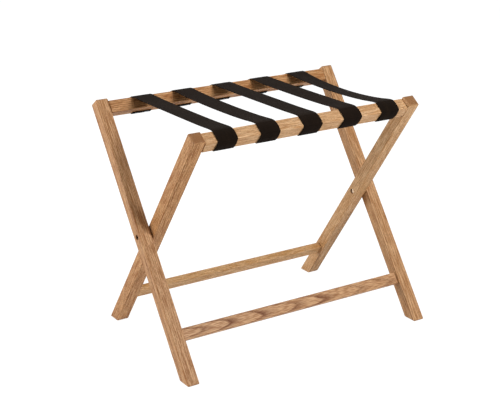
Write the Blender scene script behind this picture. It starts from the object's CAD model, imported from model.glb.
# %% [markdown]
# # A folding luggage rack
# The real rack is two oak frames that cross like scissors on two bolts, with five dark webbing straps
# stretched between their top rails. The CAD model gives the places and the motion. This lesson dresses it:
# every piece is worked out again as a smooth surface with numpy, and gets a finish made of shader nodes.

import math

import bmesh
import bpy
import numpy as np
from mathutils import Matrix, Vector


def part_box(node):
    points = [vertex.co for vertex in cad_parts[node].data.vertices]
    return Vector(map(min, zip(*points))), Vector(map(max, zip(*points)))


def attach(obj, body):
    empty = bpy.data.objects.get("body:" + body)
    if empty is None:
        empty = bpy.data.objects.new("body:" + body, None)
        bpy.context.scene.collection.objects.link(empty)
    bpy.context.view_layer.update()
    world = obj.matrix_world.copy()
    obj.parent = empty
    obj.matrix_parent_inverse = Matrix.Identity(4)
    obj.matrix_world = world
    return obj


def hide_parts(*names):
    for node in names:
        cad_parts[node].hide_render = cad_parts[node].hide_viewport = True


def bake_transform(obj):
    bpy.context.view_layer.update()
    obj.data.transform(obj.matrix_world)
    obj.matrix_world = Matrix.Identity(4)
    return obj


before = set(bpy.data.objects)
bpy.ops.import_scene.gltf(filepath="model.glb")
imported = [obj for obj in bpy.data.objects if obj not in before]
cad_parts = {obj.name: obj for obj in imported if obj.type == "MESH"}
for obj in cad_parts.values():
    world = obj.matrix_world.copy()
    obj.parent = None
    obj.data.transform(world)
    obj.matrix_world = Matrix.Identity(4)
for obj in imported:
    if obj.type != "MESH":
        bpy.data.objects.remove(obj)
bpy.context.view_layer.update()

# %% [markdown]
# ## Two leaning frames
# Each wooden frame is flat, so it is easiest to draw lying in its own axes: x along the pivot, z up the legs
# and y across them. One function then leans it. The outer frame leans back and the inner one leans forward.

# %% Sizes in millimetres, and the lean
METRE = 1000.0
TILT = math.radians(35.5)
PIVOT_HEIGHT = 253.0
OVERALL_WIDTH = 600.0
LEG = 27.0
LEG_GAP = 2.2
LEAN = {"outer": 1, "inner": -1}
CLEAR_WIDTH = {"outer": OVERALL_WIDTH - 2 * LEG, "inner": OVERALL_WIDTH - 4 * LEG - 2 * LEG_GAP}
SIDES = {"left": -1, "right": 1}


def lean_over(points, lean):
    """A frame's own axes to the open rack: a turn about x by the tilt, then a lift to the pivot."""
    x, y, z = np.moveaxis(np.asarray(points, float), -1, 0)
    sin, cos = math.sin(TILT), math.cos(TILT)
    return np.stack([x, y * cos + lean * z * sin, PIVOT_HEIGHT - lean * y * sin + z * cos], -1)


print("clear widths between the legs:", CLEAR_WIDTH)

# %% [markdown]
# ## From grids of points to meshes
# Every piece below is a grid of points: rings that follow each other along a path. Neighbouring points make
# four-sided faces. Rings that shrink to one point close a pole, once doubled points are merged. Flat faces
# stay flat under smooth shading where edges that turn by more than 40 degrees are marked sharp.

# %% Faces of a grid
def grid_faces(rings, points, loop=False, caps=False):
    """Quads between rings of points: point j of ring i is number i * points + j, and each ring closes."""
    i = np.arange(rings if loop else rings - 1)[:, None] * points
    j = np.arange(points)[None, :]
    i_next = (i + points) % (rings * points)
    j_next = (j + 1) % points
    faces = np.stack([i + j, i + j_next, i_next + j_next, i_next + j], -1).reshape(-1, 4).tolist()
    ends = [list(range(points)), list(range((rings - 1) * points, rings * points))]
    return faces + ends if caps else faces


print("faces of a tube of 3 rings and 8 points, with caps:", len(grid_faces(3, 8, caps=True)))


# %% Points into a mesh and out of it
def put_points(mesh, points):
    """Moves a mesh's points, given in millimetres."""
    mesh.vertices.foreach_set("co", (np.asarray(points) / METRE).astype(np.float32).ravel())
    mesh.update()


def get_points(mesh):
    """A mesh's points in millimetres."""
    flat = np.empty(len(mesh.vertices) * 3, np.float32)
    mesh.vertices.foreach_get("co", flat)
    return flat.reshape(-1, 3).astype(float) * METRE


print("a mesh keeps a place 0.3 m away to this many mm:", float(np.spacing(np.float32(0.3))) * METRE)

# %% Closed pieces
SHARP = math.radians(40)
DOUBLES_M = 1e-6


def close_up(mesh, distance):
    """Merges points closer than a distance in metres, and turns the faces outwards. Blender can turn a bent
    shape inside out here, so the signed volume, positive when faces look outwards, has the last word."""
    work = bmesh.new()
    work.from_mesh(mesh)
    bmesh.ops.remove_doubles(work, verts=work.verts, dist=distance)
    bmesh.ops.recalc_face_normals(work, faces=work.faces)
    if work.calc_volume(signed=True) < 0:
        bmesh.ops.reverse_faces(work, faces=work.faces)
    work.to_mesh(mesh)
    work.free()


def make_piece(name, points, faces, lean=None):
    """An object at the origin from points in millimetres, closed up and leaned over with its frame."""
    mesh = bpy.data.meshes.new(name)
    mesh.from_pydata((np.asarray(points).reshape(-1, 3) / METRE).tolist(), [], faces)
    close_up(mesh, DOUBLES_M)
    if lean:
        put_points(mesh, lean_over(get_points(mesh), lean))
    mesh.shade_smooth()
    mesh.set_sharp_from_angle(angle=SHARP)
    piece = bpy.data.objects.new(name, mesh)
    bpy.context.scene.collection.objects.link(piece)
    return piece


print("points closer than this become one, in mm:", DOUBLES_M * METRE)

# %% [markdown]
# ## Taking a CAD node's place
# A new piece stands for one CAD node: it rides on the node's body, hides the node and names the same finish
# in the record. A short report compares the boxes of both, so that a piece in the wrong place shows up in
# the text before anyone looks at a picture.

# %% Standing for a node, and the report
def stand_for(piece, node, body, material):
    """Puts a piece in a CAD node's place: it rides on the body, takes the slot and wears the material."""
    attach(piece, body)
    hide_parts(node)
    piece.data.materials.clear()
    piece.data.materials.append(material)


def fit_report(title, pairs):
    """Prints the largest difference between new pieces' boxes and their nodes' boxes."""
    worst = 0.0
    for piece, node in pairs:
        points = get_points(piece.data) / METRE
        low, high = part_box(node)
        worst = max(worst, abs(points.min(0) - low).max(), abs(points.max(0) - high).max())
    print(f"{title}: {len(pairs)} pieces, boxes within {worst * METRE:.2f} mm of the CAD")


# %% [markdown]
# ## Colours and nodes
# A colour is written as people mix it on a screen, in sRGB hex. Shaders count in linear light, so one
# function converts it. A second function adds any node, sets its values and links its inputs. The scale of a
# pattern is how many of its features fit into one unit of the coordinates, so it comes from real sizes.

# %% Colours
def linear(hex_colour):
    """sRGB hex to linear RGBA: the low end is divided by 12.92, the rest is a power of 2.4."""
    srgb = np.array([int(hex_colour[i:i + 2], 16) for i in (1, 3, 5)]) / 255
    low, high = srgb / 12.92, ((srgb + 0.055) / 1.055) ** 2.4
    return (*np.where(srgb <= 0.04045, low, high), 1.0)


print("a middle grey on the screen is this much light:", round(linear("#808080")[0], 3))


# %% Nodes
def add(tree, kind, links=None, values=None, **settings):
    """One node of a kind, with its settings, its sockets' values, and links from sockets into its inputs."""
    node = tree.nodes.new(kind)
    for key, value in settings.items():
        setattr(node, key, value)
    for key, value in (values or {}).items():
        node.inputs[key].default_value = value
    for key, socket in (links or {}).items():
        tree.links.new(socket, node.inputs[key])
    return node


def scales(sizes_mm, unit_mm=1.0):
    """Pattern scales from three sizes in millimetres: the coordinates' unit over each size."""
    return tuple(unit_mm / np.array(sizes_mm, float))


def new_material(name):
    """An empty node material with its output."""
    material = bpy.data.materials.new(name)
    material.use_nodes = True
    material.node_tree.nodes.clear()
    return material, material.node_tree, add(material.node_tree, "ShaderNodeOutputMaterial")


print("a feature of 2 mm on coordinates in metres has the scale:", float(scales((2, 2, 2), METRE)[0]))

# %% [markdown]
# ## The boards
# Legs, rails and stretchers are planed oak with eased arrises. A cube with a Bevel would do for the outline.
# Here a rounded rectangle is carried along each member, because then the rounding is known exactly and every
# point also knows where it lies in the tree. One more point on the flat beside each arc keeps the shading
# of the flats even. The holes for dowels and bolts are cut afterwards with a Boolean, applied at once.

# %% Rounded sections and eased ends
ARC_STEPS, END_STEPS = 5, 3
BESIDE = 0.7
LEAST_ROUND = 0.25


def eased_sections(half, radius, inset):
    """Rounded rectangles, one per inset: corner centre plus radius times the turning direction."""
    corner = np.arange(4)[:, None] * np.pi / 2
    angle = corner + np.r_[0, np.linspace(0, np.pi / 2, ARC_STEPS + 1), np.pi / 2]
    slide = np.r_[-BESIDE, np.zeros(ARC_STEPS + 1), BESIDE][None, :, None]
    outward = np.stack([np.cos(angle), np.sin(angle)], -1)
    along_edge = np.stack([-np.sin(angle), np.cos(angle)], -1)
    sign = np.sign(np.concatenate([np.cos(corner + np.pi / 4), np.sin(corner + np.pi / 4)], -1))[:, None]
    small = np.maximum(radius - inset, LEAST_ROUND)[:, None, None, None]
    centre = np.asarray(half) - inset[:, None, None, None] - small
    return (sign * centre + small * outward + slide * along_edge).reshape(len(inset), -1, 2)


def eased_ends(low, high, radius):
    """Places along a member and how far the section draws in there: a quarter circle at either end."""
    turn = np.linspace(0, np.pi / 2, END_STEPS + 1)
    inset = np.r_[radius * (1 - np.sin(turn)), 0]
    advance = np.r_[radius * (1 - np.cos(turn)), radius + BESIDE]
    return np.r_[low + advance, (high - advance)[::-1]], np.r_[inset, inset[::-1]]


print("points in one section:", eased_sections((10, 10), 2.0, np.zeros(1)).shape[1])

# %% Turned shapes
TURN_STEPS = 72
FLUTES = 18


def turned(profile, start, direction, height=0.0, flutes=0.0, thread=0.0):
    """A profile of (distance, radius, hexagon share) rows spun about x. The hexagon's radius is its apothem
    over the cosine of the angle from the middle of a flat. Flutes are waves of the radius round the turn,
    and a thread of 1 mm pitch is a wave along the axis that moves on with the angle."""
    distance, radius, hexagon = np.array(profile, float).T[:, :, None]
    angle = np.arange(TURN_STEPS) * 2 * np.pi / TURN_STEPS
    from_flat = (angle + np.pi / 6) % (np.pi / 3) - np.pi / 6
    spun = radius * (1 - hexagon + hexagon / np.cos(from_flat))
    spun = spun - flutes * (radius > 0) * (0.5 + 0.5 * np.cos(FLUTES * angle))
    spun = spun - thread * (radius > 0) * (0.5 + 0.5 * np.cos(2 * np.pi * distance - angle))
    x = start + direction * distance + 0 * spun
    points = np.stack([x, spun * np.cos(angle), height + spun * np.sin(angle)], -1)
    return points, grid_faces(len(profile), TURN_STEPS)


print("points in one turned ring:", TURN_STEPS)

# %% Cutters for holes
BORE_DOUBLES_M = 5e-6


def plain_hole(radius, start, end, height):
    """A cutter: a round rod along x from start to end, closed at both ends."""
    rows = [(0, 0, 0), (0, radius, 0), (abs(end - start), radius, 0), (abs(end - start), 0, 0)]
    return turned(rows, start, np.sign(end - start), height)


def bored(piece, holes):
    """Cuts holes out of a piece for good: Boolean differences with temporary cutters."""
    cutters = [make_piece(f"cutter_{i}", *hole) for i, hole in enumerate(holes)]
    for cutter in cutters:
        cut = piece.modifiers.new("bore", "BOOLEAN")
        cut.operation = "DIFFERENCE"
        cut.solver = "EXACT"
        cut.object = cutter
    graph = bpy.context.evaluated_depsgraph_get()
    plain, piece.data = piece.data, bpy.data.meshes.new_from_object(piece.evaluated_get(graph))
    piece.modifiers.clear()
    bpy.data.meshes.remove(plain)
    for cutter in cutters:
        bpy.data.meshes.remove(cutter.data)
    close_up(piece.data, BORE_DOUBLES_M)
    piece.data.shade_smooth()
    piece.data.set_sharp_from_angle(angle=SHARP)


print("rings in a plain cutter:", len(plain_hole(1, 0, 10, 0)[0]))

# %% [markdown]
# ## Where each board lay in the tree
# Oak shows its growth rings on every face at once, so its pattern is a solid one: it depends on the place in
# the log. Each board stores that place as a vertex attribute: millimetres from the pith in two directions,
# and millimetres along the grain. A board near the pith and slightly askew shows arched figure, and one far
# from it shows straight lines. A second attribute, kept at the corners of the faces, holds four numbers for
# the finish: the board's tone, how much end grain shows, how strong the figure is, and the board's warmth.

# %% The boards in the tree
# Each board: direction of the pith in degrees, distance to it in millimetres, slant of the grain in two
# directions, tone (the power that its colour is raised to), figure (how strongly the year rings show), and
# warmth (how saturated its colour is)
TREE = {
    "outer_leg_left": (190, 150, 0.006, 0.004, 1.15, 0.45, 0.97),
    "outer_leg_right": (135, 140, 0.004, 0.006, 1.07, 0.5, 0.98),
    "inner_leg_left": (82, 150, 0.004, -0.004, 1.20, 0.2, 1.0),
    "inner_leg_right": (80, 140, -0.006, 0.004, 0.89, 0.2, 1.03),
    "rear_top_rail": (100, 80, 0.008, 0.006, 1.20, 0.6, 1.0),
    "front_top_rail": (250, 100, -0.004, 0.006, 0.90, 0.3, 1.0),
    "front_stretcher": (184, 38, 0.055, 0.014, 1.13, 1.15, 0.94),
    "rear_stretcher": (190, 70, 0.010, -0.006, 0.83, 0.2, 1.08),
}
# Each board starts this much further along the log than the one before
LOG_STEP = 400.0
print("boards out of the tree:", len(TREE))

# %% Storing a board's place
# Faces nearer to the pivot's axis than this can be walls of its bore, which then get this share of end grain
NEAR_PIVOT, BORE_SHADE = 6.5, 1.4


def bore_walls(mesh):
    """Each face corner's point, and whether its face is a wall of the pivot bore: near the bore's axis, x,
    and turned towards it."""
    point = np.empty(len(mesh.loops), np.int32)
    mesh.loops.foreach_get("vertex_index", point)
    corners = np.empty(len(mesh.polygons), np.int32)
    mesh.polygons.foreach_get("loop_total", corners)
    normal, centre = np.empty((2, len(corners), 3), np.float32)
    mesh.polygons.foreach_get("normal", normal.ravel())
    mesh.polygons.foreach_get("center", centre.ravel())
    wall = (abs(normal[:, 0]) < 0.1) & (np.hypot(centre[:, 1], centre[:, 2]) < NEAR_PIVOT / METRE)
    return point, np.repeat(wall, corners)


def know_tree(piece, node, across, along, end_distance, fade):
    """Stores each point's place in the log in millimetres (board), and each face corner's tone, end grain,
    figure and warmth (tone). The place is the one across the board, less the pith's, plus the slant times
    the distance along. End grain fades from one to zero over a distance from the board's ends, and the walls
    of the pivot bore, which get little light, count as more than one."""
    direction, distance, slant_p, slant_q, tone, figure, warmth = TREE[node]
    seed = LOG_STEP * sorted(TREE).index(node)
    pith = distance * np.array([math.cos(math.radians(direction)), math.sin(math.radians(direction))])
    slant = np.outer(along, (slant_p, slant_q))
    place = np.column_stack([across - pith + slant, along + seed]).astype(np.float32)
    board = piece.data.attributes.new("board", "FLOAT_VECTOR", "POINT")
    board.data.foreach_set("vector", place.ravel())
    point, wall = bore_walls(piece.data)
    look = np.tile((tone, 0.0, figure, warmth), (len(point), 1)).astype(np.float32)
    look[:, 1] = np.where(wall, BORE_SHADE, np.clip(1 - end_distance / fade, 0, 1)[point])
    store = piece.data.attributes.new("tone", "FLOAT_COLOR", "CORNER")
    store.data.foreach_set("color", look.ravel())


print("the last board starts this far along the log, in mm:", LOG_STEP * (len(TREE) - 1))

# %% [markdown]
# ## Legs, rails and stretchers
# A leg is square, planed and eased, with its foot cut level with the floor. A rail or a stretcher is sawn
# square and butts against the legs, with a fine groove where its rounded end meets them. Cutting a long
# board with planes would do as well. Carrying one section along a line needs only a function for each kind,
# and a shear along the leg gives the level foot.

# %% Legs
LEG_TOP = 300.0
LEG_ROUND, LEG_END_ROUND, LEG_END_GRAIN = 1.8, 3.6, 3.0


def make_leg(node, frame_name, side, holes):
    """A square section carried up the leg. At the foot, z moves by y times the tangent of the tilt, which
    makes the foot level with the floor."""
    lean = LEAN[frame_name]
    middle = side * (CLEAR_WIDTH[frame_name] + LEG) / 2
    foot = -PIVOT_HEIGHT / math.cos(TILT)
    along, inset = eased_ends(foot, LEG_TOP, LEG_END_ROUND)
    section = eased_sections((LEG / 2, LEG / 2), LEG_ROUND, inset)
    shear = lean * math.tan(TILT) * (along < 0)[:, None]
    z = along[:, None] + shear * section[..., 1]
    points = np.stack([middle + section[..., 0], section[..., 1], z], -1)
    piece = make_piece("oak_" + node, points, grid_faces(*z.shape, caps=True))
    bored(piece, holes)
    x, y, z = get_points(piece.data).T
    ends = np.minimum(LEG_TOP - z, z - foot - lean * math.tan(TILT) * y)
    know_tree(piece, node, np.column_stack([x - middle, y]), z, ends, LEG_END_GRAIN)
    put_points(piece.data, lean_over(np.column_stack([x, y, z]), lean))
    return piece


print("a leg is this long up its middle, in mm:", round(LEG_TOP + PIVOT_HEIGHT / math.cos(TILT), 1))

# %% Rails and stretchers
JOINT_GAP = 0.8
CROSS_END_ROUND, CROSS_END_GRAIN = 0.8, 0.5
RAIL, RAIL_ROUND, RAIL_CENTRE = 27.0, 2.5, 280.5
STRETCHER_DEPTH, STRETCHER_HEIGHT, STRETCHER_ROUND = 15.0, 25.0, 2.0
STRETCHER_UP = 96.0
STRETCHER_CENTRE = STRETCHER_UP - PIVOT_HEIGHT / math.cos(TILT)


def make_crosspiece(node, frame_name, depth, height, radius, centre, holes):
    """A section carried along x between the legs, for a rail or a stretcher."""
    length = CLEAR_WIDTH[frame_name] - 2 * JOINT_GAP
    along, inset = eased_ends(-length / 2, length / 2, CROSS_END_ROUND)
    section = eased_sections((depth / 2, height / 2), radius, inset)
    points = np.stack([along[:, None] + 0 * section[..., 0], section[..., 0], centre + section[..., 1]], -1)
    piece = make_piece("oak_" + node, points, grid_faces(*section.shape[:2], caps=True))
    bored(piece, holes)
    x, y, z = get_points(piece.data).T
    know_tree(piece, node, np.column_stack([y, z - centre]), x, length / 2 - abs(x), CROSS_END_GRAIN)
    put_points(piece.data, lean_over(np.column_stack([x, y, z]), LEAN[frame_name]))
    return piece


print("a stretcher stands this far below the pivot, along the leg:", round(-STRETCHER_CENTRE, 1))

# %% Dowel holes and pivot bores
DOWEL_RADIUS, DOWEL_IN_LEG, DOWEL_IN_BOARD = 3.0, 16.0, 20.0
DOWEL_PLAY, DOWEL_SPARE = 0.2, 1.0
DOWEL_LEVELS = {"lower": -5.5, "upper": 5.5}
HEAD_RADIUS, HEAD_RECESS, HEAD_PLAY, SEAT_DEPTH = 5.2, 1.0, 0.3, 3.8
BORE_RADIUS = {"outer": 3.3, "inner": 4.5}
CUTTER_SPARE = 1.0


def dowel_hole(frame_name, side, height):
    """The hole that a dowel's two halves share, with a millimetre to spare at both ends."""
    face = CLEAR_WIDTH[frame_name] / 2
    start = side * (face - DOWEL_IN_BOARD - DOWEL_SPARE)
    end = side * (face + DOWEL_IN_LEG + DOWEL_SPARE)
    return plain_hole(DOWEL_RADIUS + DOWEL_PLAY, start, end, height)


def pivot_bore(frame_name, side):
    """The bore for the bolt or sleeve, stepped out to the seat of its head."""
    outer = frame_name == "outer"
    face = side * (OVERALL_WIDTH if outer else CLEAR_WIDTH["inner"]) / 2
    wide, narrow = HEAD_RADIUS + HEAD_PLAY, BORE_RADIUS[frame_name]
    rows = [(-CUTTER_SPARE, 0, 0), (-CUTTER_SPARE, wide, 0), (SEAT_DEPTH, wide, 0),
            (SEAT_DEPTH, narrow, 0), (LEG + CUTTER_SPARE, narrow, 0), (LEG + CUTTER_SPARE, 0, 0)]
    return turned(rows, face, -side if outer else side)


print("rings in a pivot cutter:", len(pivot_bore("outer", 1)[0]))

# %% The eight boards
MEMBERS = {"outer": ("rear_top_rail", "front_stretcher"), "inner": ("front_top_rail", "rear_stretcher")}
CENTRES = (RAIL_CENTRE, STRETCHER_CENTRE)
SECTIONS = ((RAIL, RAIL, RAIL_ROUND), (STRETCHER_DEPTH, STRETCHER_HEIGHT, STRETCHER_ROUND))
oak_pieces = []
oak_bodies = {}
for frame_name, members in MEMBERS.items():
    holes = {(s, centre): [dowel_hole(frame_name, side, centre + level) for level in DOWEL_LEVELS.values()]
             for s, side in SIDES.items() for centre in CENTRES}
    made = {}
    for s, side in SIDES.items():
        node = f"{frame_name}_leg_{s}"
        cuts = [pivot_bore(frame_name, side)] + holes[s, RAIL_CENTRE] + holes[s, STRETCHER_CENTRE]
        made[node] = make_leg(node, frame_name, side, cuts)
    for node, section, centre in zip(members, SECTIONS, CENTRES):
        cuts = holes["left", centre] + holes["right", centre]
        made[node] = make_crosspiece(node, frame_name, *section, centre, cuts)
    oak_pieces += [(piece, node) for node, piece in made.items()]
    oak_bodies.update(dict.fromkeys(made, frame_name + "_frame"))
fit_report("oak boards", oak_pieces)

# %% [markdown]
# ## Planed oak under a matt clear finish
# Oak is ring-porous. Each year starts with a band of wide vessels, cut open as dark dashes along the grain,
# and ends in dense pale wood. A flat pattern would break at every arris, so this one is solid, in layers:
# year bands by the distance from the pith, pores stretched along the grain and gathered in the dark bands,
# fine fibres, and a slow drift of colour through the log. Real pores are 0.3 mm wide, about a seventh of a
# pixel here, so they are drawn 1.2 mm wide. Fibres and year bands are drawn coarser than in life too.

# %% Oak: the year bands
YEAR_MM = 4.2
SWAY_MM = 6.0
WANDER_MM = (30, 30, 170)
# Through one year, how much the wood is early wood: white is all of it, and black is none
YEAR_STOPS = [(0.0, "#ffffff"), (0.15, "#c8c8c8"), (0.42, "#202020"), (0.88, "#000000"), (1.0, "#ffffff")]
oak, tree, out = new_material("planed_oak_matt_clear_finish")
board = add(tree, "ShaderNodeAttribute", attribute_name="board").outputs["Vector"]
look = add(tree, "ShaderNodeAttribute", attribute_name="tone").outputs
tone = add(tree, "ShaderNodeSeparateXYZ", {"Vector": look["Vector"]})
# Rings wander by a few millimetres over a hand's breadth
slow = add(tree, "ShaderNodeMapping", {"Vector": board}, {"Scale": scales(WANDER_MM)})
wander = add(tree, "ShaderNodeTexNoise", {"Vector": slow.outputs[0]}, {"Scale": 1.0, "Detail": 2.0})
log = add(tree, "ShaderNodeSeparateXYZ", {"Vector": board})
across = add(tree, "ShaderNodeCombineXYZ", {"X": log.outputs["X"], "Y": log.outputs["Y"]})
radius = add(tree, "ShaderNodeVectorMath", {0: across.outputs[0]}, operation="LENGTH")
sway = add(tree, "ShaderNodeMath", {0: wander.outputs["Fac"]}, {1: SWAY_MM}, operation="MULTIPLY")
bent = add(tree, "ShaderNodeMath", {0: radius.outputs["Value"], 1: sway.outputs[0]}, operation="ADD")
years = add(tree, "ShaderNodeMath", {0: bent.outputs[0]}, {1: YEAR_MM}, operation="DIVIDE")
year = add(tree, "ShaderNodeMath", {0: years.outputs[0]}, operation="FRACT")
early = add(tree, "ShaderNodeValToRGB", {"Fac": year.outputs[0]})
stops = early.color_ramp.elements
while len(stops) < len(YEAR_STOPS):
    stops.new(0.5)
for stop, (at, shade) in zip(stops, YEAR_STOPS):
    stop.position = at
    stop.color = linear(shade)
print("year bands across a leg:", round(LEG / YEAR_MM, 1))

# %% Oak: pores and fibres
PORE_MM, PORE_LENGTH_MM = 1.2, 5.0
FIBRE_MM, FIBRE_LENGTH_MM = 1.1, 30.0
fine = add(tree, "ShaderNodeMapping", {"Vector": board},
           {"Scale": scales((PORE_MM, PORE_MM, PORE_LENGTH_MM))})
pore_noise = add(tree, "ShaderNodeTexNoise", {"Vector": fine.outputs[0]}, {"Scale": 1.0, "Detail": 1.0})
pores = add(tree, "ShaderNodeMapRange", {"Value": pore_noise.outputs["Fac"]},
            {"From Min": 0.48, "From Max": 0.6})
# A board with a strong figure keeps its pores to the early wood, a plain one has them nearly everywhere
scatter = add(tree, "ShaderNodeMath", {0: tone.outputs["Z"]}, {1: -0.7, 2: 0.8}, operation="MULTIPLY_ADD")
where = add(tree, "ShaderNodeMapRange", {"Value": early.outputs["Color"], "To Min": scatter.outputs[0]},
            {"To Max": 1.0})
open_pores = add(tree, "ShaderNodeMath", {0: pores.outputs[0], 1: where.outputs[0]}, operation="MULTIPLY")
fibre_map = add(tree, "ShaderNodeMapping", {"Vector": board},
                {"Scale": scales((FIBRE_MM, FIBRE_MM, FIBRE_LENGTH_MM))})
fibre = add(tree, "ShaderNodeTexNoise", {"Vector": fibre_map.outputs[0]}, {"Scale": 1.0, "Detail": 0.0})
streak = add(tree, "ShaderNodeMapRange", {"Value": fibre.outputs["Fac"]}, {"From Min": 0.4, "From Max": 0.6})
print("pores across a leg:", round(LEG / PORE_MM))

# %% Oak: colour and finish
# Pale late wood with a drift from fibre to fibre, browner early wood, dark pores, then the board's own tone
# and warmth, and last the dark end grain
body = add(tree, "ShaderNodeMix", {"Factor": streak.outputs[0]},
           {"A": linear("#b27f4e"), "B": linear("#d9ae80")}, data_type="RGBA")
patchy = add(tree, "ShaderNodeMapRange", {"Value": wander.outputs["Fac"]},
             {"From Min": 0.4, "From Max": 0.62, "To Min": 0.25, "To Max": 1.0})
figure = add(tree, "ShaderNodeMath", {0: patchy.outputs[0], 1: tone.outputs["Z"]}, operation="MULTIPLY")
brown = add(tree, "ShaderNodeMath", {0: early.outputs["Color"], 1: figure.outputs[0]}, operation="MULTIPLY")
banded = add(tree, "ShaderNodeMix", {"Factor": brown.outputs[0], "A": body.outputs["Result"]},
             {"B": linear("#845026")}, data_type="RGBA")
deep = add(tree, "ShaderNodeMath", {0: open_pores.outputs[0]}, {1: 0.5}, operation="MULTIPLY")
pored = add(tree, "ShaderNodeMix", {"Factor": deep.outputs[0], "A": banded.outputs["Result"]},
            {"B": linear("#653816")}, data_type="RGBA")
powered = add(tree, "ShaderNodeGamma", {"Color": pored.outputs["Result"], "Gamma": tone.outputs["X"]})
toned = add(tree, "ShaderNodeHueSaturation", {"Color": powered.outputs[0], "Saturation": look["Alpha"]})
end_share = add(tree, "ShaderNodeMath", {0: tone.outputs["Y"]}, {1: 0.82}, operation="MULTIPLY")
ended = add(tree, "ShaderNodeMix", {"Factor": end_share.outputs[0], "A": toned.outputs[0]},
            {"B": linear("#7f532c")}, data_type="RGBA")
# The finish is matt, and rougher in the open pores, which are also a little lower than the planed wood
rough = add(tree, "ShaderNodeMapRange", {"Value": open_pores.outputs[0]}, {"To Min": 0.46, "To Max": 0.75})
bump = add(tree, "ShaderNodeBump", {"Height": open_pores.outputs[0]}, {"Strength": 0.25, "Distance": 0.0003},
           invert=True)
shader = add(tree, "ShaderNodeBsdfPrincipled", {
    "Base Color": ended.outputs["Result"], "Roughness": rough.outputs[0], "Normal": bump.outputs[0]},
    {"IOR": 1.5, "Specular IOR Level": 0.25})
tree.links.new(shader.outputs[0], out.inputs[0])
for piece, node in oak_pieces:
    stand_for(piece, node, oak_bodies[node], oak)
print("oak boards dressed:", len(oak_pieces))

# %% [markdown]
# ## Dowels
# Two beech dowels sit in each butt joint, hidden once the joint is closed. They are fluted so that glue can
# spread. A plain cylinder could stand in for one, but a fluted rod costs no more here: it is a turned
# profile whose radius has eighteen small waves round the turn. Raw beech looks even and pinkish, with short
# darker flecks.

# %% Raw beech
FLECK_MM = (2.0, 0.5, 0.5)
beech, tree, out = new_material("raw_beech_dowel_rod")
# Beech rays are cut open as flecks about 2 mm long along the rod
place = add(tree, "ShaderNodeTexCoord").outputs["Object"]
fleck_map = add(tree, "ShaderNodeMapping", {"Vector": place}, {"Scale": scales(FLECK_MM, METRE)})
fleck = add(tree, "ShaderNodeTexNoise", {"Vector": fleck_map.outputs[0]}, {"Scale": 1.0, "Detail": 1.0})
flecks = add(tree, "ShaderNodeMapRange", {"Value": fleck.outputs["Fac"]}, {"From Min": 0.5, "From Max": 0.7})
colour = add(tree, "ShaderNodeMix", {"Factor": flecks.outputs[0]},
             {"A": linear("#dfc29a"), "B": linear("#bf946a")}, data_type="RGBA")
shader = add(tree, "ShaderNodeBsdfPrincipled", {"Base Color": colour.outputs["Result"]}, {"Roughness": 0.7})
tree.links.new(shader.outputs[0], out.inputs[0])
print("nodes in the beech:", len(tree.nodes))

# %% Fluted dowels
DOWEL_CHAMFER, FLUTE_DEPTH = 0.8, 0.25


def make_dowel(name, frame_name, side, height):
    """A rod with chamfered ends, as a turned profile with flutes."""
    length, r, cut = DOWEL_IN_LEG + DOWEL_IN_BOARD, DOWEL_RADIUS, DOWEL_CHAMFER
    rows = [(0, 0, 0), (0, r - cut, 0), (cut, r, 0),
            (length - cut, r, 0), (length, r - cut, 0), (length, 0, 0)]
    start = side * (CLEAR_WIDTH[frame_name] / 2 + DOWEL_IN_LEG)
    return make_piece(name, *turned(rows, start, -side, height, flutes=FLUTE_DEPTH), lean=LEAN[frame_name])


dowels = []
for frame_name, members in MEMBERS.items():
    for member, centre in zip(members, CENTRES):
        for s, side in SIDES.items():
            for level_name, level in DOWEL_LEVELS.items():
                node = f"{member}_{s}_{level_name}_dowel"
                piece = make_dowel("fluted_" + node, frame_name, side, centre + level)
                stand_for(piece, node, frame_name + "_frame", beech)
                dowels.append((piece, node))
fit_report("beech dowels", dowels)

# %% [markdown]
# ## Bronze plate and black nylon
# The bolts and nuts are steel with a thin bright bronze plate. It is pale and warm and mirrors the room, so
# it is bright from one side and dark from another, with faint rings left by the lathe. A plain metal would
# give most of that, and a noise that changes fast along the axis adds the rings. The washers between the
# legs are moulded nylon, nearly black and satin, with the fine spark texture of a mould.

# %% Bronze plate
# Real rings are about 0.1 mm apart, too fine to show, so they are drawn coarser
LATHE_RING_MM = (0.4, 4, 4)
bronze, tree, out = new_material("polished_bronze_plated_steel")
place = add(tree, "ShaderNodeTexCoord").outputs["Object"]
ring_map = add(tree, "ShaderNodeMapping", {"Vector": place}, {"Scale": scales(LATHE_RING_MM, METRE)})
rings = add(tree, "ShaderNodeTexNoise", {"Vector": ring_map.outputs[0]}, {"Scale": 1.0, "Detail": 2.0})
rough = add(tree, "ShaderNodeMapRange", {"Value": rings.outputs["Fac"]}, {"To Min": 0.12, "To Max": 0.22})
plate = add(tree, "ShaderNodeMix", {"Factor": rings.outputs["Fac"]},
            {"A": linear("#dcc4a8"), "B": linear("#f6e6d2")}, data_type="RGBA")
# Plating hardly reaches into the bolt's deep socket, and keys wear it off round the mouth, so there the
# steel shows, dark with oil
oily = add(tree, "ShaderNodeAttribute", attribute_name="oil").outputs["Fac"]
colour = add(tree, "ShaderNodeMix", {"Factor": oily, "A": plate.outputs["Result"]},
             {"B": linear("#140d08")}, data_type="RGBA")
shader = add(tree, "ShaderNodeBsdfPrincipled", {
    "Base Color": colour.outputs["Result"], "Roughness": rough.outputs[0]}, {"Metallic": 1.0})
tree.links.new(shader.outputs[0], out.inputs[0])
print("nodes in the bronze plate:", len(tree.nodes))

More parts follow.
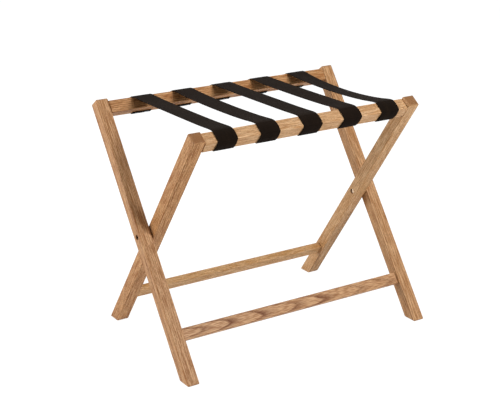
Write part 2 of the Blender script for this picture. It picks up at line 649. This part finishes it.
# %% Black nylon
# Real spark pits are about 0.1 mm wide, too fine to show, so they are drawn coarser
SPARK_MM = 0.8
nylon, tree, out = new_material("moulded_black_nylon")
place = add(tree, "ShaderNodeTexCoord").outputs["Object"]
spark = add(tree, "ShaderNodeTexNoise", {"Vector": place}, {"Scale": METRE / SPARK_MM, "Detail": 2.0})
colour = add(tree, "ShaderNodeMix", {"Factor": spark.outputs["Fac"]},
             {"A": linear("#141210"), "B": linear("#26221f")}, data_type="RGBA")
bump = add(tree, "ShaderNodeBump", {"Height": spark.outputs["Fac"]}, {"Strength": 0.3, "Distance": 0.00005})
shader = add(tree, "ShaderNodeBsdfPrincipled", {
    "Base Color": colour.outputs["Result"], "Normal": bump.outputs[0]}, {"Roughness": 0.5, "IOR": 1.53})
tree.links.new(shader.outputs[0], out.inputs[0])
print("nodes in the nylon:", len(tree.nodes))

# %% [markdown]
# ## Pivots
# Each crossing turns on a connector bolt: a slightly domed head with a hexagon socket, let into the outer
# leg, screwed into a sleeve nut with a like head, let into the inner leg. A cylinder with a cut socket would
# need a Boolean. The real ones are turned on a lathe, so here one spun profile makes each piece, and the
# socket is the part of the profile where the circle gives way to a hexagon.

# %% Profiles of the bolt, the sleeve nut and the washer
NUT_END, BOLT_END, BOLT_RADIUS = 24.0, 49.2, 3.0
BOLT_SOCKET, NUT_SOCKET = (2.5, 3.4), (2.0, 2.2)
HEAD_DROP, HEAD_DOME = 0.9, 0.3
THREAD_START, THREAD_DEPTH, THREAD_ROWS = 29.0, 0.55, 6


def head(socket, depth):
    """A head 0.9 mm below its place in the CAD: a hexagon socket of some half width and depth, then a face
    that starts outside the hexagon's corners and falls away to the rim with the square of the distance."""
    r = np.linspace(1.2 * socket, HEAD_RADIUS - 0.15, 8)
    fall = HEAD_DROP + HEAD_DOME * ((r - r[0]) / (HEAD_RADIUS - r[0])) ** 2
    bottom = [(depth, 0, 1), (depth, 0.6 * socket, 1), (depth, socket, 1), (1.2, socket, 1)]
    rim = [(1.3, HEAD_RADIUS - 0.04, 0), (1.45, HEAD_RADIUS, 0), (2.6, HEAD_RADIUS, 0)]
    return np.vstack([bottom, np.column_stack([fall, r, 0 * r]), rim])


SLEEVE = [(2.5, 4.2, 0), (NUT_END - 0.4, 4.2, 0), (NUT_END, 3.9, 0), (NUT_END, 3.4, 0),
          (NUT_END - 0.3, 3.2, 0), (4.0, 3.2, 0), (4.0, 0, 0)]
SHANK = [(2.5, BOLT_RADIUS, 0), (THREAD_START - 0.1, BOLT_RADIUS, 0)]
along = np.arange(THREAD_START, BOLT_END - 0.8, 1 / THREAD_ROWS)
THREAD = np.vstack([np.column_stack([along, 0 * along + BOLT_RADIUS, 0 * along]),
                    [(BOLT_END, 2.5, 0), (BOLT_END, 0, 0)]])
WASHER = [(0.0, 3.6, 0), (0.0, 8.2, 0), (0.3, 8.5, 0), (1.3, 8.5, 0), (1.6, 8.2, 0), (1.6, 3.6, 0),
          (1.3, 3.3, 0), (0.3, 3.3, 0)]
print("rings in a bolt:", len(head(*BOLT_SOCKET)) + len(SHANK) + len(THREAD))

# %% Bolts, sleeve nuts and washers
# Oil reaches this far from the axis, and the washers have this much room on each side
OIL_RADIUS, WASHER_PLAY = 3.5, 0.3


def make_bolt(name, side):
    """Head and plain shank as one turned profile, and the thread as a second one that goes on from there."""
    start = side * (OVERALL_WIDTH / 2 - HEAD_RECESS)
    head_points, _ = turned(np.vstack([head(*BOLT_SOCKET), SHANK]), start, -side)
    thread_points, _ = turned(THREAD, start, -side, thread=THREAD_DEPTH)
    points = np.concatenate([head_points, thread_points])
    bolt = make_piece(name, points, grid_faces(len(points), TURN_STEPS), lean=LEAN["outer"])
    _, y, z = get_points(bolt.data).T
    oil = np.hypot(y, z - PIVOT_HEIGHT) < OIL_RADIUS
    bolt.data.attributes.new("oil", "FLOAT", "POINT").data.foreach_set("value", oil.astype(np.float32))
    return bolt


pivots = []
for s, side in SIDES.items():
    inside = side * (CLEAR_WIDTH["inner"] / 2 + HEAD_RECESS)
    gap = side * (OVERALL_WIDTH / 2 - LEG - WASHER_PLAY)
    nut = turned(np.vstack([head(*NUT_SOCKET), SLEEVE]), inside, side)
    washer_points, _ = turned(WASHER, gap, -side)
    washer = washer_points, grid_faces(len(WASHER), TURN_STEPS, loop=True)
    made = [
        (make_bolt(f"socket_bolt_{s}", side), "bolt", "bronze", bronze),
        (make_piece(f"sleeve_nut_{s}", *nut, lean=LEAN["outer"]), "nut", "bronze", bronze),
        (make_piece(f"spacer_washer_{s}", *washer, lean=LEAN["outer"]), "washer", "nylon", nylon),
    ]
    for piece, kind, slot, material in made:
        stand_for(piece, f"pivot_{kind}_{s}", "outer_frame", material)
        pivots.append((piece, f"pivot_{kind}_{s}"))
fit_report("pivot pieces", pivots)

# %% [markdown]
# ## Webbing straps
# Each strap is a length of woven webbing, 45 mm wide. It is turned under the rear rail, laid round it, drawn
# across, and laid round the front rail in the same way. Cloth simulation would stretch it, so it is made
# directly: the section of the webbing is carried along the path, and the span hangs by the slack that the
# photograph shows, which is clear on the last strap. No strap is fixed quite true either, so each one drifts
# sideways by a few millimetres. Each point keeps its place in the weave: millimetres across and along.

# %% Sizes of the straps
STRAP_WIDTH, STRAP_THICKNESS, STRAP_FIT, STRAP_TAIL, STRAP_INSET = 45.0, 1.6, 0.3, 8.0, 25.0
STRAP_X = np.linspace(-1, 1, 5) * (CLEAR_WIDTH["inner"] / 2 - STRAP_INSET - STRAP_WIDTH / 2)
# For each strap, how far the left and the right edge sag in the middle of the span
SLACK = [(0.4, 1.4), (4.0, 3.4), (0.0, 0.0), (2.4, 0.4), (6.8, 11.0)]
# For each strap, how far it lies off to the right on top of the front rail, and on that rail's front side
DRIFT = [(2.0, 0.5), (1.2, -0.7), (3.4, -0.2), (3.4, -1.2), (0.6, -3.0)]
BULGE = 1.6
HUMP, HUMP_MM = 0.22, 12.0
# Points on the tail, on an arc round an arris, on a run between two arcs, and on the last arc
TAIL_POINTS, BEND_POINTS, RUN_POINTS, LAST_POINTS = 4, 9, 9, 6
SPAN_STEPS, SPAN_CROWDING = 48, 1.6
# Numbers of three points, counted from either end: where the outer side of the rail starts, the middle of
# the arris above it, and where the span starts
OUTER_SIDE = TAIL_POINTS + BEND_POINTS - 1
ARRIS = TAIL_POINTS + BEND_POINTS + RUN_POINTS + BEND_POINTS // 2
SPAN_START = TAIL_POINTS + 2 * (BEND_POINTS + RUN_POINTS) + LAST_POINTS - 1
print("straps at x:", np.round(STRAP_X, 1).tolist())


# %% The path of a strap
def strap_path():
    """Half a strap in the end view, from the cut end under the rear rail to the middle of the span: arcs of
    one radius about three of the rail's corner centres, and between them a slight bow, a sine, because stiff
    webbing doesn't lie quite flat on the wood. For the same reason the span rises a little before it turns
    down: slope times distance, fading over a dozen millimetres. Gives places and outward directions."""
    reach = RAIL / 2 - RAIL_ROUND
    radius = RAIL_ROUND + STRAP_FIT + STRAP_THICKNESS / 2
    corners = np.array([(0, reach, -reach), (0, reach, reach), (0, -reach, reach)]) + (0, 0, RAIL_CENTRE)
    centres = lean_over(corners, LEAN["outer"])[:, 1:]
    angles = [np.linspace(-np.pi / 2, 0, BEND_POINTS) - TILT, np.linspace(0, np.pi / 2, BEND_POINTS) - TILT,
              np.linspace(np.pi / 2 - TILT, np.pi / 2, LAST_POINTS)]
    arcs = [c + radius * np.column_stack([np.cos(a), np.sin(a)]) for c, a in zip(centres, angles)]
    along_tail = np.linspace(STRAP_TAIL, 1, TAIL_POINTS)
    tail = arcs[0][0] - np.outer(along_tail, (math.cos(TILT), -math.sin(TILT)))
    share = np.linspace(0, 1, RUN_POINTS + 2)[1:-1]
    bulge = BULGE * np.sin(np.pi * share)[:, None]
    runs = [a[-1] + np.outer(share, b[0] - a[-1]) + bulge * (math.cos(t[-1]), math.sin(t[-1]))
            for a, b, t in zip(arcs, arcs[1:], angles)]
    end_y, end_z = arcs[2][-1]
    span_y = end_y * (1 - np.linspace(0, 1, SPAN_STEPS // 2 + 1)[1:] ** SPAN_CROWDING)
    free = end_y - span_y
    span = np.column_stack([span_y, end_z + HUMP * free * np.exp(-free / HUMP_MM)])
    places = np.concatenate([tail, arcs[0], runs[0], arcs[1], runs[1], arcs[2], span])
    turn = np.concatenate([
        np.full(TAIL_POINTS, angles[0][0]), angles[0], np.full(RUN_POINTS, angles[0][-1]),
        angles[1], np.full(RUN_POINTS, angles[1][-1]), angles[2], np.full(len(span_y), np.pi / 2)])
    return places, turn, end_y


print("points on half a strap's path:", len(strap_path()[0]))

# %% The section of a strap
SELVEDGE, GROOVE_DEPTH, GROOVE_WIDTH, FACE_DROP = 4.0, 0.22, 0.9, 0.06
FACE_POINTS, EDGE_POINTS = 61, 7


def strap_section():
    """Once round the webbing: flat faces, with a groove, a bell curve, beside each fuller selvedge, and half
    round edges. Gives across and height."""
    half, t = STRAP_WIDTH / 2, STRAP_THICKNESS / 2
    flat = np.linspace(-1, 1, FACE_POINTS) * (half - t)
    groove = GROOVE_DEPTH * np.exp(-(((abs(flat) - (half - SELVEDGE)) / GROOVE_WIDTH) ** 2)) + FACE_DROP
    bend = np.linspace(-np.pi / 2, np.pi / 2, EDGE_POINTS)[1:-1]
    rim = np.column_stack([half - t + t * np.cos(bend), (t - FACE_DROP) * np.sin(bend)])
    under = np.column_stack([flat, groove - t])
    return np.concatenate([under, rim, -under, -rim])


print("points once round the webbing:", len(strap_section()))


# %% The section carried along the path
def make_strap(name, middle, slack, drift):
    """Path plus height times outward direction. The span drops by the slack times one minus (y over its end)
    squared, and the slack changes evenly from the left edge to the right one. Sideways, the strap drifts
    evenly along the span to one offset on top of the front rail, and on its front side to another."""
    half_places, half_turn, span_end = strap_path()
    places = np.concatenate([half_places, (half_places * (-1, 1))[-2::-1]])
    turn = np.concatenate([half_turn, (np.pi - half_turn)[-2::-1]])
    across, height = strap_section().T
    y = places[:, :1] + np.cos(turn)[:, None] * height
    z = places[:, 1:] + np.sin(turn)[:, None] * height
    left, right = slack
    hang = left + (right - left) * (across / STRAP_WIDTH + 0.5)
    share = np.clip(1 - (places[:, :1] / span_end) ** 2, 0, 1)
    in_span = abs(np.sin(turn) - 1) < 1e-9
    z = z - hang * share * in_span[:, None]
    length = np.r_[0, np.cumsum(np.linalg.norm(np.diff(places, axis=0), axis=1))]
    top_drift, front_drift = drift
    knots = [length[OUTER_SIDE], length[ARRIS], length[SPAN_START], length[-1] - length[SPAN_START]]
    offset = np.interp(length[-1] - length, knots, [front_drift, top_drift, top_drift, 0])
    points = np.stack([middle + across + offset[:, None], y, z], -1)
    piece = make_piece(name, points, grid_faces(*y.shape, caps=True))
    weave = np.stack([across + 0 * y, length[:, None] + 0 * y, np.full(y.shape, middle)], -1)
    store = piece.data.attributes.new("weave", "FLOAT_VECTOR", "POINT")
    store.data.foreach_set("vector", weave.astype(np.float32).ravel())
    return piece, length[-1]


print("sections along a strap:", 2 * len(strap_path()[0]) - 1)

# %% [markdown]
# ## Woven polypropylene
# The webbing is a dull brown black. Cords about 2.3 mm wide run along it and show as ribs, and the weft
# crosses them in small steps about 1.7 mm long. Threads could be modelled one by one, but at this size a
# wave across times a wave along gives the same relief with far fewer faces. Dust and wear leave the tops of
# the ribs a bit paler.

# %% Webbing material
RIB_MM, STEP_MM = 2.3, 1.7
DUST_MM = (9, 40, 9)
webbing, tree, out = new_material("woven_polypropylene_webbing")
weave = add(tree, "ShaderNodeAttribute", attribute_name="weave").outputs["Vector"]
cloth = add(tree, "ShaderNodeSeparateXYZ", {"Vector": weave})
rib_place = add(tree, "ShaderNodeMath", {0: cloth.outputs["X"]}, {1: 2 * math.pi / RIB_MM},
                operation="MULTIPLY")
rib = add(tree, "ShaderNodeMath", {0: rib_place.outputs[0]}, operation="COSINE")
half_place = add(tree, "ShaderNodeMath", {0: cloth.outputs["X"]}, {1: math.pi / RIB_MM},
                 operation="MULTIPLY")
side_wave = add(tree, "ShaderNodeMath", {0: half_place.outputs[0]}, operation="COSINE")
step_place = add(tree, "ShaderNodeMath", {0: cloth.outputs["Y"]}, {1: 2 * math.pi / STEP_MM},
                 operation="MULTIPLY")
step = add(tree, "ShaderNodeMath", {0: step_place.outputs[0]}, operation="SINE")
over = add(tree, "ShaderNodeMath", {0: side_wave.outputs[0], 1: step.outputs[0]}, operation="MULTIPLY")
woven = add(tree, "ShaderNodeMath", {0: rib.outputs[0], 1: over.outputs[0]}, operation="ADD")
height = add(tree, "ShaderNodeMapRange", {"Value": woven.outputs[0]}, {"From Min": -2.0, "From Max": 2.0})
dust_map = add(tree, "ShaderNodeMapping", {"Vector": weave}, {"Scale": scales(DUST_MM)})
dust = add(tree, "ShaderNodeTexNoise", {"Vector": dust_map.outputs[0]}, {"Scale": 1.0, "Detail": 3.0})
pale = add(tree, "ShaderNodeMath", {0: height.outputs[0], 1: dust.outputs["Fac"]}, operation="MULTIPLY")
colour = add(tree, "ShaderNodeMix", {"Factor": pale.outputs[0]},
             {"A": linear("#0d0805"), "B": linear("#2a1d13")}, data_type="RGBA")
bump = add(tree, "ShaderNodeBump", {"Height": height.outputs[0]}, {"Strength": 0.6, "Distance": 0.0003})
shader = add(tree, "ShaderNodeBsdfPrincipled", {
    "Base Color": colour.outputs["Result"], "Normal": bump.outputs[0]},
    {"Roughness": 0.85, "IOR": 1.49, "Specular IOR Level": 0.06})
tree.links.new(shader.outputs[0], out.inputs[0])
print("ribs across a strap:", round(STRAP_WIDTH / RIB_MM))

# %% Five straps that bend between the two frames
for i, (middle, slack, drift) in enumerate(zip(STRAP_X, SLACK, DRIFT), 1):
    piece, length = make_strap(f"webbing_strap_{i}", middle, slack, drift)
    piece.data.materials.append(webbing)
    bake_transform(piece)
    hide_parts(f"strap_{i}")
    fit_report(f"strap {i}, {length:.1f} mm of webbing", [(piece, f"strap_{i}")])

# %% [markdown]
# ## Staples
# Two staples hold each turned-under end. A staple is flat galvanised wire bent to a U. A curve with a bevel
# could draw it, but carrying a rounded section down one leg, round a bend, along the crown and up again
# gives a closed mesh at once. The zinc is blue grey to the eye, with scuffs along the wire.

# %% Galvanised wire
SCUFF_MM = 1.2
wire, tree, out = new_material("galvanised_staple_wire")
place = add(tree, "ShaderNodeTexCoord").outputs["Object"]
scuff = add(tree, "ShaderNodeTexNoise", {"Vector": place}, {"Scale": METRE / SCUFF_MM, "Detail": 2.0})
rough = add(tree, "ShaderNodeMapRange", {"Value": scuff.outputs["Fac"]}, {"To Min": 0.28, "To Max": 0.5})
colour = add(tree, "ShaderNodeMix", {"Factor": scuff.outputs["Fac"]},
             {"A": linear("#8c9297"), "B": linear("#b4b9bd")}, data_type="RGBA")
shader = add(tree, "ShaderNodeBsdfPrincipled", {
    "Base Color": colour.outputs["Result"], "Roughness": rough.outputs[0]}, {"Metallic": 1.0})
tree.links.new(shader.outputs[0], out.inputs[0])
print("nodes in the wire:", len(tree.nodes))

# %% Bent staples
STAPLE_HALF, STAPLE_LEG, STAPLE_BEND, STAPLE_INSET = 5.0, 12.0, 0.75, 11.0
WIRE, WIRE_WIDTH, WIRE_ROUND = 0.9, 1.3, 0.3
CROWN_PLAY = 0.15
CROWN_TOP = RAIL_CENTRE - RAIL / 2 - STRAP_FIT - STRAP_THICKNESS - CROWN_PLAY


def make_staple(name, frame_name, x):
    """A wire section carried along a U: down one leg, a quarter circle, the crown, another quarter circle,
    and up the other leg."""
    half = STAPLE_HALF - WIRE / 2
    quarter = np.linspace(0, np.pi / 2, 6)
    turn = np.r_[0, quarter, quarter + np.pi / 2, np.pi]
    on_right = np.arange(len(turn)) > len(quarter)
    centre_x = np.where(on_right, half - STAPLE_BEND, STAPLE_BEND - half)
    path_x = centre_x - STAPLE_BEND * np.cos(turn)
    path_z = STAPLE_BEND - WIRE / 2 - STAPLE_BEND * np.sin(turn)
    path_z[[0, -1]] = STAPLE_LEG - WIRE
    across, deep = eased_sections((WIRE / 2, WIRE_WIDTH / 2), WIRE_ROUND, np.zeros(1))[0].T
    px = x + path_x[:, None] + np.cos(turn)[:, None] * across
    pz = CROWN_TOP + path_z[:, None] + np.sin(turn)[:, None] * across
    py = LEAN[frame_name] * (RAIL / 2 - RAIL_ROUND - STRAP_TAIL / 2) + deep + 0 * px
    faces = grid_faces(*px.shape, caps=True)
    return make_piece(name, np.stack([px, py, pz], -1), faces, lean=LEAN[frame_name])


staples = []
for frame_name, end in (("outer", "rear"), ("inner", "front")):
    for i, middle in enumerate(STRAP_X, 1):
        for s, side in SIDES.items():
            node = f"{end}_strap_{i}_{s}_staple"
            place_x = middle + side * (STRAP_WIDTH / 2 - STAPLE_INSET)
            piece = make_staple("wire_" + node, frame_name, place_x)
            stand_for(piece, node, frame_name + "_frame", wire)
            staples.append((piece, node))
fit_report("staples", staples)

# %% [markdown]
# ## Floor
# The rack stands on a white paper sweep. More light would whiten it and spoil the wood. So the floor shows
# white to the camera and to reflections by its own glow, a little less near the rack, and keeps a trace of
# the rack's soft shadow. To all other light it is plain pale paper.

# %% Floor
FLOOR_HALF = 12 * METRE
corners = np.array([(-1, -1, 0), (1, -1, 0), (1, 1, 0), (-1, 1, 0)]) * FLOOR_HALF


def in_view(tree):
    """One for rays from the camera, from a gloss or through a clear piece, and zero for all other light."""
    path = add(tree, "ShaderNodeLightPath").outputs
    seen = add(tree, "ShaderNodeMath", {0: path["Is Camera Ray"], 1: path["Is Glossy Ray"]},
               operation="MAXIMUM")
    return add(tree, "ShaderNodeMath", {0: seen.outputs[0], 1: path["Is Transmission Ray"]},
               operation="MAXIMUM").outputs[0]


floor = make_piece("studio_floor", corners, [[0, 1, 2, 3]])
paper, tree, out = new_material("matt_white_sweep")
lit = add(tree, "ShaderNodeBsdfDiffuse", values={"Color": linear("#f3f3f3")})
faint = add(tree, "ShaderNodeBsdfDiffuse", values={"Color": linear("#808080")})
place = add(tree, "ShaderNodeTexCoord").outputs["Object"]
far = add(tree, "ShaderNodeVectorMath", {0: place}, operation="LENGTH")
white = add(tree, "ShaderNodeMapRange", {"Value": far.outputs["Value"]},
            {"From Min": 0.45, "From Max": 1.1, "To Min": 0.94, "To Max": 1.0})
glow = add(tree, "ShaderNodeEmission", {"Strength": white.outputs[0]}, {"Color": (1, 1, 1, 1)})
shown = add(tree, "ShaderNodeAddShader", {0: faint.outputs[0], 1: glow.outputs[0]})
mixed = add(tree, "ShaderNodeMixShader", {0: in_view(tree), 1: lit.outputs[0], 2: shown.outputs[0]})
tree.links.new(mixed.outputs[0], out.inputs[0])
floor.data.materials.append(paper)
print("floor of", 2 * FLOOR_HALF / METRE, "m each way")

# %% [markdown]
# ## Studio light
# The photograph has soft shadows and hardly any glare, so bare lamps are out. The wood is bright on its left
# sides and on its fronts, and the straps shade the rear rail. So a large softbox stands at the rear left, a
# smaller one at the front right, and a weak one overhead lifts the tops. The world is white to the camera
# and gives the wood only a little light. The pale floor fills the rest.

# %% World
WORLD_LIGHT = 0.04
world = bpy.data.worlds.new("white_studio")
bpy.context.scene.world = world
world.use_nodes = True
tree = world.node_tree
tree.nodes.clear()
strength = add(tree, "ShaderNodeMapRange", {"Value": in_view(tree)}, {"To Min": WORLD_LIGHT, "To Max": 1.0})
back = add(tree, "ShaderNodeBackground", {"Strength": strength.outputs[0]}, {"Color": (1, 1, 1, 1)})
tree.links.new(back.outputs[0], add(tree, "ShaderNodeOutputWorld").inputs[0])
print("nodes in the world:", len(tree.nodes))

# %% Lamps
AIM = (0, 0, 0.25)
# Each lamp: its place and its width in metres, and its power in watts
LAMPS = {
    "front_right_softbox": ((0.488, -1.822, 1.383), 0.75, 31),
    "rear_left_softbox": ((-2.641, 1.404, 1.645), 1.8, 83),
    "overhead_softbox": ((0.000, -0.382, 2.417), 1.2, 12),
}


def soft_lamp(name, place, size, power):
    """A square area lamp that looks from a place to the middle of the rack."""
    lamp = bpy.data.lights.new(name, "AREA")
    lamp.size = size
    lamp.energy = power
    holder = bpy.data.objects.new(name, lamp)
    holder.rotation_euler = (Vector(place) - Vector(AIM)).to_track_quat("Z", "Y").to_euler()
    holder.location = place
    bpy.context.scene.collection.objects.link(holder)


for name, (place, size, power) in LAMPS.items():
    soft_lamp(name, place, size, power)

# %% [markdown]
# ## Camera
# The photograph was taken from the front left, a little above the rack, with a long lens. A camera could be
# turned by hand until it looks right. Here its place, turn and lens come from fitting the rack's straight
# edges to the picture, to about half a pixel.

# %% Camera
YAW, PITCH, ROLL = np.radians([32.7984, 19.0268, -0.1526])
CAMERA_PLACE = (-1.3903126, -2.1135134, 1.1340202)
SENSOR_MM, LENS_MM = 36.0, 90.088
ahead = np.array([math.sin(YAW) * math.cos(PITCH), math.cos(YAW) * math.cos(PITCH), -math.sin(PITCH)])
level_right = np.array([math.cos(YAW), -math.sin(YAW), 0.0])
level_up = np.cross(level_right, ahead)
right = math.cos(ROLL) * level_right + math.sin(ROLL) * level_up
up = np.cross(right, ahead)
lens = bpy.data.cameras.new("photo_camera")
lens.sensor_width = SENSOR_MM
lens.lens = LENS_MM
camera = bpy.data.objects.new("photo_camera", lens)
turn = np.eye(4)
turn[:3, :3] = np.column_stack([right, up, -ahead])
turn[:3, 3] = CAMERA_PLACE
camera.matrix_world = Matrix(turn.tolist())
bpy.context.scene.collection.objects.link(camera)
bpy.context.scene.camera = camera
bpy.context.scene.view_settings.view_transform = "Standard"
print("camera to pivot in metres:", round(math.dist(CAMERA_PLACE, (0, 0, PIVOT_HEIGHT / METRE)), 2))
